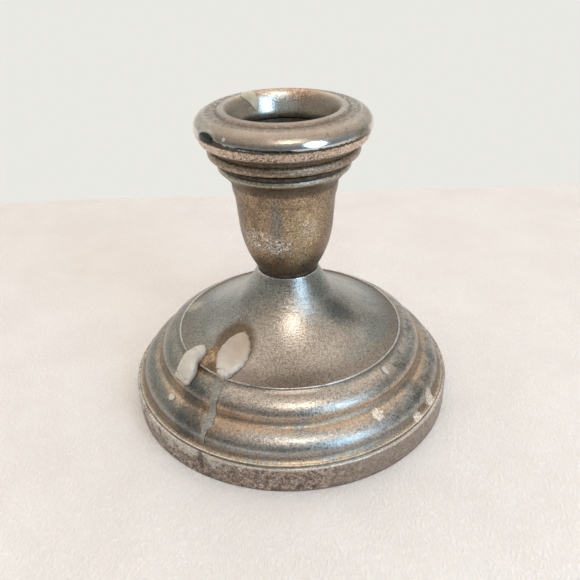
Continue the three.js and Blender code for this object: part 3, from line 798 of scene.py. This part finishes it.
def rim_silver():
    s = Shader("silver_rim_look")
    grain = s.contrast(s.noise(0.42, detail=2.0, roughness=0.6))
    speckle = s.noise(0.8, detail=5.0, roughness=0.85, shift=2.0)
    cloud = s.noise(5.0, detail=4.0, shift=6.0)
    streaks = s.contrast(s.turning(0.9))
    aside = s.smooth(s.math("ABSOLUTE", s.azimuth + 4), 36, 74)
    s.colour = s.mix(aside, (0.37, 0.31, 0.258), (0.66, 0.60, 0.515))
    s.paint(s.smooth(cloud, 0.4, 0.6) * 0.4, (0.46, 0.40, 0.335))
    s.paint(streaks * s.smooth(speckle, 0.40, 0.56) * 0.55, (0.25, 0.20, 0.155))
    # The lower edge of the roll: a pale film, worn to a mirror further on; a black patch at the left and a
    # dark line along the edge are painted reflections of the dark surroundings
    level = s.z + (s.noise(1.0, detail=4.0, shift=1.0) - 0.5) * 1.1
    lip_edge = s.patch((-56, 21.7, 78.7), 4.0, soft=0.3, ragged=0.2, stretch=(1.0, 1.0, 0.42), grain=0.8)
    dark_reflection_patch = s.patch((-54, 21.7, 78.45), 3.1, soft=0.25, ragged=0.12, stretch=(1.0, 1.0, 0.40), grain=0.8)
    tail = 77.7 + s.smooth(s.azimuth, -24, -50) * 0.9
    mirror = s.most(
        s.between(s.azimuth, -47, -4, 4) * s.between(level, tail + 0.05, 78.55, 0.2),
        s.between(s.azimuth, 2, 42, 9) * s.between(level, 77.8, 79.3, 0.25),
    )
    dark_reflection_line = s.between(level, 77.3, tail, 0.22) * s.between(s.azimuth, -60, 66, 6)
    polished = s.most(dark_reflection_patch, mirror, dark_reflection_line)
    s.paint(lip_edge * 0.7, (0.66, 0.63, 0.57))
    s.paint(mirror * 0.85, (0.60, 0.62, 0.60))
    # Painted reflections of the dark surroundings: the dark line along the edge and the black patch at the
    # left
    s.paint(dark_reflection_line * 0.9, (0.055, 0.05, 0.04))
    s.paint(dark_reflection_patch * 0.95, (0.03, 0.035, 0.03))
    stained = s.specks(1.5, 0.45, 2.0) * s.patch((36, 21.5, 78.9), 3.2, soft=0.6, ragged=0.3)
    s.paint(stained * 0.7, (0.10, 0.11, 0.10))
    smear = s.patch((58, 21.5, 78.0), 3.2, soft=1.0, ragged=0.3, stretch=(1, 1, 0.4))
    s.paint(smear * 0.7, (0.14, 0.12, 0.085))
    white_speck = s.patch((-38, 21.3, 79.3), 0.45, soft=0.3, ragged=0.1)
    s.paint(white_speck, (0.9, 0.88, 0.84))
    # Below the roll: a worn copper band, then a brown cove and bead
    copper = s.between(level, 75.2, 77.0, 0.25) * s.smooth(s.radius, 20.2, 20.6)
    s.paint(copper, (0.25, 0.18, 0.13))
    worn = speckle + (cloud - 0.5) * 0.4 + (grain - 0.5) * 0.14
    s.paint(copper * s.smooth(worn, 0.37, 0.47), (0.64, 0.515, 0.415))
    brown = s.smooth(s.z, 75.0, 74.6)
    s.paint(brown, (0.29, 0.225, 0.165))
    s.paint(brown * s.smooth(speckle, 0.50, 0.58) * 0.8, (0.60, 0.48, 0.37))
    # The groove round the lip and the throat
    top_groove = s.between(s.radius, 15.9, 18.2, 0.7) * s.smooth(s.z, 80.7, 81.0)
    s.paint(top_groove * s.smooth(speckle, 0.40, 0.54) * 0.85, (0.215, 0.17, 0.13))
    throat = s.smooth(s.radius, 14.6, 13.6)
    s.paint(throat, (0.42, 0.355, 0.285))
    orange = s.patch((176, 13.6, 81.6), 6.5, soft=0.8, ragged=0.35, stretch=(1.4, 1, 0.32))
    s.paint(orange * 0.6, (0.30, 0.20, 0.14))
    s.paint(orange * s.smooth(speckle, 0.47, 0.54) * 0.9, (0.66, 0.45, 0.31))
    # Painted highlight: a pale patch on the far wall of the throat, also made smoother, where the highlight
    # falls
    throat_highlight = s.patch((-172, 12.3, 78.9), 3.6, soft=1.0, ragged=0.15, stretch=(1.3, 1, 0.8), grain=2)
    s.paint(throat_highlight * 0.85, (0.66, 0.68, 0.64))
    deep = s.smooth(s.z, 78.0, 76.6) * s.smooth(s.radius, 13, 12.4)
    s.paint(deep * 0.6, (0.22, 0.235, 0.21))
    dirt = s.smooth(s.hollow, 0.3, 0.9) * s.smooth(speckle, 0.25, 0.6)
    s.paint(dirt * 0.5, (0.12, 0.10, 0.075))
    gritty = s.most(brown, throat * (0.35 - throat_highlight * 0.3), copper, orange * 0.8)
    s.shade(1 + (grain - 0.5) * (0.24 + gritty * 0.56) * (1 - polished))
    roughness = 0.30 + gritty * 0.09 + grain * 0.05 + dirt * 0.2 - polished * 0.2 - throat_highlight * 0.1
    height = (grain * (0.2 + gritty * 0.6) + speckle * (0.2 + gritty * 0.6)) * (1 - polished * 0.9)
    return s.finish(roughness, height, depth=0.035, metal=1.0)


def plain_metal(name, dark, light, roughness, size=2.0, depth=0.03):
    """Dull inner metal: two tones in clouds, fine grain, darker in its hollows."""
    s = Shader(name)
    cloud = s.noise(size, detail=5.0, roughness=0.7)
    grain = s.noise(size * 0.12, detail=2.0)
    s.colour = s.mix(s.smooth(cloud, 0.38, 0.62), dark, light)
    s.paint(s.smooth(s.hollow, 0.1, 0.6) * 0.7, tuple(c * 0.4 for c in dark))
    s.shade(0.75 + grain * 0.5)
    return s.finish(roughness + cloud * 0.2, cloud * 0.6 + grain * 0.5, depth, metal=1.0)


def mineral(name, dark, light, size=1.5, depth=0.25, roughness=0.8):
    """Poured filler: grainy, with pores."""
    s = Shader(name)
    cloud = s.noise(size * 4, detail=4.0)
    grain = s.noise(size * 0.3, detail=5.0, roughness=0.75)
    pores = s.specks(size, 0.35)
    s.colour = s.mix(s.smooth(cloud + grain * 0.6, 0.6, 1.0), dark, light)
    s.paint(pores * 0.6, tuple(c * 0.35 for c in dark))
    return s.finish(roughness + grain * 0.15, grain - pores, depth)


def felt():
    s = Shader("felt_look")
    fibres = s.noise(0.5, detail=4.0, roughness=0.8, distortion=1.8, stretch=(3, 1, 1))
    cross = s.noise(0.5, detail=4.0, roughness=0.8, distortion=1.8, stretch=(1, 3, 1), shift=5.0)
    wear = s.noise(14.0, detail=3.0)
    s.colour = s.mix(s.smooth(fibres + cross, 0.8, 1.2), (0.018, 0.055, 0.032), (0.055, 0.125, 0.08))
    s.paint(s.smooth(wear, 0.5, 0.66) * 0.4, (0.12, 0.15, 0.11))
    return s.finish(0.9 + fibres * 0.08, fibres + cross, 0.3, Sheen_Weight=0.6, Sheen_Roughness=0.5)


def wax(name, white, warm, warm_at, warm_size, dirty=0.0):
    """Old wax, darker at its edge, where hollow is 1, and yellowed round warm_at."""
    s = Shader(name)
    cloud = s.noise(2.6, detail=4.0)
    grain = s.noise(0.5, detail=4.0, roughness=0.75)
    s.colour = s.mix(s.smooth(cloud, 0.35, 0.65) * 0.3, white, warm)
    s.paint(s.blot(warm_at, warm_size, soft=1.2, ragged=0.2, grain=2.0) * 0.8, warm)
    s.paint(s.smooth(s.hollow, 0.86, 1.0) * 0.55, tuple(c * 0.62 for c in warm))
    if dirty:
        dust = s.smooth(s.noise(0.9, detail=5.0, roughness=0.8, shift=4.0), 0.62 - 0.3 * dirty, 0.66)
        s.paint(dust * dirty, (0.10, 0.09, 0.075))
        s.paint(s.smooth(grain, 0.54, 0.62) * dirty, (0.50, 0.475, 0.42))
    roughness = 0.24 + cloud * 0.16 + grain * 0.1 + dirty * 0.35
    return s.finish(roughness, cloud * 0.8 + grain * 0.3, 0.12, Subsurface_Weight=0.35,
                    Subsurface_Radius=(0.0016, 0.0011, 0.0007), Subsurface_Scale=1.0, IOR=1.44,
                    Coat_Weight=0.5, Coat_Roughness=0.12)


# ---- Camera, floor and light ----

CAMERA_PLACE = (0.000377, -0.159105, 0.125704)
CAMERA_TILT, CAMERA_ROLL = 30.850, -1.8327
LENS, SENSOR_WIDTH = 41.586, 36
LIGHT_DISTANCE = 1.0


def make_camera():
    data = bpy.data.cameras.new("camera")
    data.lens = LENS
    data.sensor_width = SENSOR_WIDTH
    data.clip_start = 0.005
    camera = bpy.data.objects.new("camera", data)
    tilt = Matrix.Rotation(math.radians(90 - CAMERA_TILT), 3, "X")
    roll = Matrix.Rotation(math.radians(CAMERA_ROLL), 3, "Z")
    camera.matrix_world = Matrix.Translation(CAMERA_PLACE) @ (tilt @ roll).to_4x4()
    bpy.context.scene.collection.objects.link(camera)
    bpy.context.scene.camera = camera


def area_light(name, azimuth, elevation, width, height, radiance, colour):
    """An oval lamp, given the power that makes it look as bright as radiance."""
    data = bpy.data.lights.new(name, "AREA")
    data.shape = "ELLIPSE"
    data.size, data.size_y = width, height
    data.energy = radiance * math.pi * width * height * math.pi / 4
    data.color = colour
    turn, rise = math.radians(azimuth), math.radians(elevation)
    way = Vector((math.sin(turn) * math.cos(rise), -math.cos(turn) * math.cos(rise), math.sin(rise)))
    lamp = bpy.data.objects.new(name, data)
    lamp.visible_camera = False
    facing = way.to_track_quat("Z", "Y").to_matrix().to_4x4()
    lamp.matrix_world = Matrix.Translation(way * LIGHT_DISTANCE) @ facing
    bpy.context.scene.collection.objects.link(lamp)


def make_world():
    """Soft light from all round: pale and warm above, grey and dimmer at the sides, brighter at the back."""
    world = bpy.data.worlds.new("studio")
    bpy.context.scene.world = world
    tree = emptied_tree(world)
    link = tree.links.new
    coords, split = add_node(tree, "TexCoord"), add_node(tree, "SeparateXYZ")
    link(coords.outputs["Generated"], split.inputs[0])
    rise = ((0.0, (0.60, 0.59, 0.57)), (0.49, (0.60, 0.59, 0.57)), (0.52, (0.27, 0.28, 0.28)),
            (0.72, (0.36, 0.365, 0.36)), (0.88, (0.80, 0.74, 0.68)), (1.0, (1.0, 0.93, 0.86)))
    depth = ((0.0, (0.8, 0.8, 0.8)), (0.5, (1.1, 1.1, 1.1)), (1.0, (2.3, 2.3, 2.3)))
    tones = []
    for axis, stops in (("Z", rise), ("Y", depth)):
        scale, ramp = add_node(tree, "MapRange"), add_node(tree, "ValToRGB")
        scale.inputs["From Min"].default_value = -1
        link(split.outputs[axis], scale.inputs["Value"])
        while len(ramp.color_ramp.elements) < len(stops):
            ramp.color_ramp.elements.new(1.0)
        for element, (place, tone) in zip(ramp.color_ramp.elements, stops):
            element.position = place
            element.color = (*tone, 1)
        link(scale.outputs[0], ramp.inputs[0])
        tones.append(ramp.outputs[0])
    product = add_node(tree, "VectorMath")
    product.operation = "MULTIPLY"
    for socket, tone in zip(product.inputs, tones):
        link(tone, socket)
    background, output = add_node(tree, "Background"), add_node(tree, "OutputWorld")
    link(product.outputs[0], background.inputs["Color"])
    link(background.outputs[0], output.inputs["Surface"])


def emitter(name, colour):
    """A plain glowing surface, for the backdrop and the dark cards."""
    material = bpy.data.materials.new(name)
    tree = emptied_tree(material)
    glow, output = add_node(tree, "Emission"), add_node(tree, "OutputMaterial")
    glow.inputs["Color"].default_value = (*colour, 1)
    tree.links.new(glow.outputs[0], output.inputs["Surface"])
    return material


def seen_by(obj, camera, glossy):
    """Stage pieces that only the camera or only reflections see throw no light or shade."""
    obj.visible_camera, obj.visible_glossy = camera, glossy
    obj.visible_diffuse = obj.visible_shadow = obj.visible_transmission = False


def make_stage():
    """A pale cloth on a table that ends behind the candlestick, a backdrop, and dark cards in front."""
    edge, rounding = 0.152, 0.012
    across = np.linspace(-0.9, 0.9, 3)
    drop = arc((edge - rounding, -rounding), rounding, rounding, 90, 0, 12)
    depth = np.concatenate([[-0.9, -0.3], drop[:, 0], [edge]])
    level = np.concatenate([[0, 0], drop[:, 1], [-0.5]])
    vertices = [(x / MM, y / MM, z / MM) for y, z in zip(depth, level) for x in across]
    corners = [i * 3 + j for i in range(len(depth) - 1) for j in range(2)]
    faces = [(k, k + 1, k + 4, k + 3) for k in corners]
    floor = add_object("floor", vertices, faces)
    s = Shader("cloth_look")
    pile = s.contrast(s.noise(0.8, detail=3.0, roughness=0.7, stretch=(0.8, 1.6, 1)))
    soft = s.noise(26.0, detail=2.0)
    s.colour = s.mix(s.smooth(soft, 0.35, 0.65), (0.92, 0.865, 0.83), (0.95, 0.90, 0.865))
    s.shade(0.97 + pile * 0.05)
    floor.data.materials.append(s.finish(0.95, pile * 0.5 + soft * 4, 0.4))

    backdrop = turned_sheet("backdrop", [(2, -1400), (1300, -900), (1500, 0), (1300, 900), (2, 1400)])
    backdrop.data.materials.append(emitter("backdrop_look", (0.82, 0.815, 0.775)))
    seen_by(backdrop, camera=True, glossy=False)

    card_corners = [(-700, -420, -5), (60, -420, -5), (60, -420, 50), (-700, -420, 80)]
    mat_corners = [(-700, -600, 1), (90, -600, 1), (60, -175, 1), (-700, -150, 1)]
    card = add_object("dark_card", card_corners, [(0, 1, 2, 3)])
    mat = add_object("dark_mat", mat_corners, [(0, 1, 2, 3)])
    for dark in (card, mat):
        dark.data.materials.append(emitter(dark.name + "_look", (0.05, 0.05, 0.05)))
        seen_by(dark, camera=False, glossy=True)


def turned_sheet(name, path, turns=48):
    """An open turned surface, for the backdrop."""
    angle = np.linspace(0, 2 * np.pi, turns, endpoint=False)
    vertices = [(r * math.cos(a), r * math.sin(a), z) for r, z in path for a in angle]
    return add_object(name, vertices, bands([(i, i + 1) for i in range(len(path) - 1)], turns), sharp=180)


make_camera()
make_stage()
make_world()
area_light("lamp", 8, 60, width=0.28, height=0.22, radiance=12.5, colour=(1.0, 0.95, 0.86))
area_light("window", 40, 24, width=0.46, height=0.80, radiance=4.4, colour=(0.48, 0.74, 1.0))
bpy.context.scene.view_settings.view_transform = "Standard"

# ---- Pieces: each one rides on the root, stands for its CAD node and takes the finish listed with it ----

# The drops bridge the groove beside the ridge, so their top leaves the foot's path before it ends
foot_paths = join(foot_rolls(), ridge(), dome()), join(foot_rolls()[:-12], OVER_RIDGE, dome()[1:])
roll_paths = foot_rolls(), foot_rolls()
lip_and_throat = rim_path()[-24:]
large_spine, small_spine = ((-13.5, -17.5), (-16.5, -23.0)), ((-24.6, -15.6), (-27.0, -21.0))
run_spine = ((-18.4, -28.2), (-21.3, -33.8))

zinc = plain_metal("zinc_look", (0.30, 0.29, 0.275), (0.52, 0.51, 0.49), 0.3)
solder = plain_metal("solder_look", (0.06, 0.05, 0.04), (0.16, 0.13, 0.105), 0.5, size=1.2, depth=0.15)
socket = plain_metal("socket_look", (0.15, 0.14, 0.12), (0.34, 0.31, 0.26), 0.35, size=3.0)
plate = plain_metal("plate_look", (0.14, 0.13, 0.12), (0.33, 0.31, 0.29), 0.4)
cement = mineral("cement_look", (0.33, 0.32, 0.30), (0.55, 0.54, 0.51))
pitch = mineral("pitch_look", (0.012, 0.010, 0.009), (0.035, 0.028, 0.022), 1.0, 0.1, 0.35)
white = wax("wax_white_look", (0.65, 0.595, 0.515), (0.47, 0.36, 0.26), (-11.2, -18.0, 27.0), 6.4)
grey = wax("wax_grey_look", (0.29, 0.265, 0.22), (0.21, 0.18, 0.145), (-20, -31, 17), 1.0, dirty=0.6)
ivory = wax("wax_ivory_look", (0.66, 0.57, 0.43), (0.52, 0.42, 0.28), (-9, 10, 81), 1.5)
left_ivory = wax("flake_left_look", (0.66, 0.60, 0.50), (0.50, 0.42, 0.31), (-31, -23, 12), 0.8)
right_ivory = wax("flake_right_look", (0.60, 0.57, 0.50), (0.34, 0.31, 0.26), (24, -22.6, 19), 0.9)

pieces = [
    (foot_band(), "silver_band", band_silver()),
    (base_shell(), "silver_foot", foot_silver()),
    (ring("neck_ring_look", ROD_HOLE, NECK_RADIUS - 0.3, NECK_TOP + SEAM_GAP, CUP_BOTTOM - SEAM_GAP),
     "solder", solder),
    (candle_cup(), "silver_cup", cup_silver()),
    (ring("rim_seam_look", SEAM_INNER, SEAM_OUTER, SEAM_BOTTOM, RIM_BOTTOM - SEAM_GAP), "solder", solder),
    (rim_shell(), "silver_rim", rim_silver()),
    (socket_liner(), "socket_metal", socket),
    (weight_fill(), "cement", cement),
    (cup_fill(), "pitch", pitch),
    (reinforcing_rod(), "zinc_steel", zinc),
    (hex_nut("upper_nut_look", UPPER_NUT_BOTTOM), "zinc_steel", zinc),
    (hex_nut("lower_nut_look", LOWER_NUT_BOTTOM), "zinc_steel", zinc),
    (washer("upper_washer_look", UPPER_WASHER_RADIUS, UPPER_WASHER_BOTTOM), "zinc_steel", zinc),
    (washer("lower_washer_look", LOWER_WASHER_RADIUS, LOWER_WASHER_BOTTOM), "zinc_steel", zinc),
    (bottom_plate(), "plate_steel", plate),
    (felt_pad(), "felt", felt()),
    (wax_on("wax_drop_large_look", foot_paths, LARGE_DROP, 1.3, large_spine, 0.8), "wax_white", white),
    (wax_on("wax_drop_small_look", foot_paths, SMALL_DROP, 1.6, small_spine, 0.6), "wax_white", white),
    (wax_on("wax_run_look", roll_paths, RUN, 0.22, run_spine, 2.0), "wax_grey", grey),
    (wax_on("wax_rim_patch_look", (lip_and_throat, lip_and_throat), RIM_PATCH, 0.3), "wax_ivory", ivory),
    (wax_on("wax_flake_left_look", roll_paths, oval(-53.3, 38.9, 1.6, 2.2), 0.3, None, 3.0),
     "wax_ivory", left_ivory),
    (wax_on("wax_flake_right_look", roll_paths, oval(46.1, 33.2, 2.4, 1.6), 0.35, None, 2.0),
     "wax_ivory", right_ivory),
]
for piece, slot, material in pieces:
    node = piece.name.removesuffix("_look")
    piece.data.materials.append(material)
    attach(piece, "root")
    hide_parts(node)
